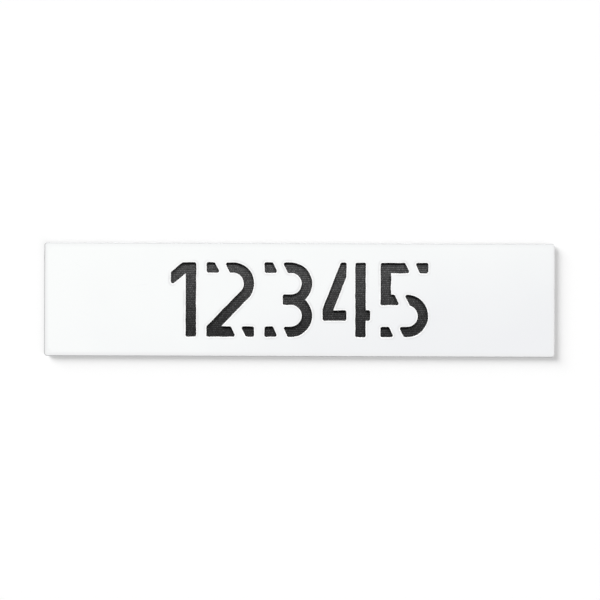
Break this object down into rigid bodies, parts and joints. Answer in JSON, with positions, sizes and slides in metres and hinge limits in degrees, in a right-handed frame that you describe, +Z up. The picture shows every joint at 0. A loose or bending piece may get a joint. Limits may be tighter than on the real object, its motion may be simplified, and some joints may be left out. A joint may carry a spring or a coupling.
{
  "type": "word stencil",
  "caption": "Long white plastic stencil plate with router-cut figures and leaning bridges, lying loose on a thin dark ribbed backing sheet that shows through the cut-outs.",
  "frame": {"origin": "centre of the backing sheet's underside, on the surface it lies on", "axes": "+X along the line of figures, +Y to the figures' tops, +Z up out of the plate's face"},
  "size_m": [0.6858, 0.1524, 0.0062],
  "materials": {
    "white_plate": "white low-density polyethylene sheet, satin, with faint handling scuffs",
    "dark_sheet": "near-black finely ribbed rubber with a dull sheen"
  },
  "bodies": {
    "backing": {"backing_sheet": "dark_sheet"},
    "stencil": {"stencil_plate": "white_plate"}
  },
  "joints": [
    {"name": "plate_lift", "type": "slide", "parent": "backing", "child": "stencil", "axis": [0, 0, 1], "range_m": [0, 0.06]}
  ]
}
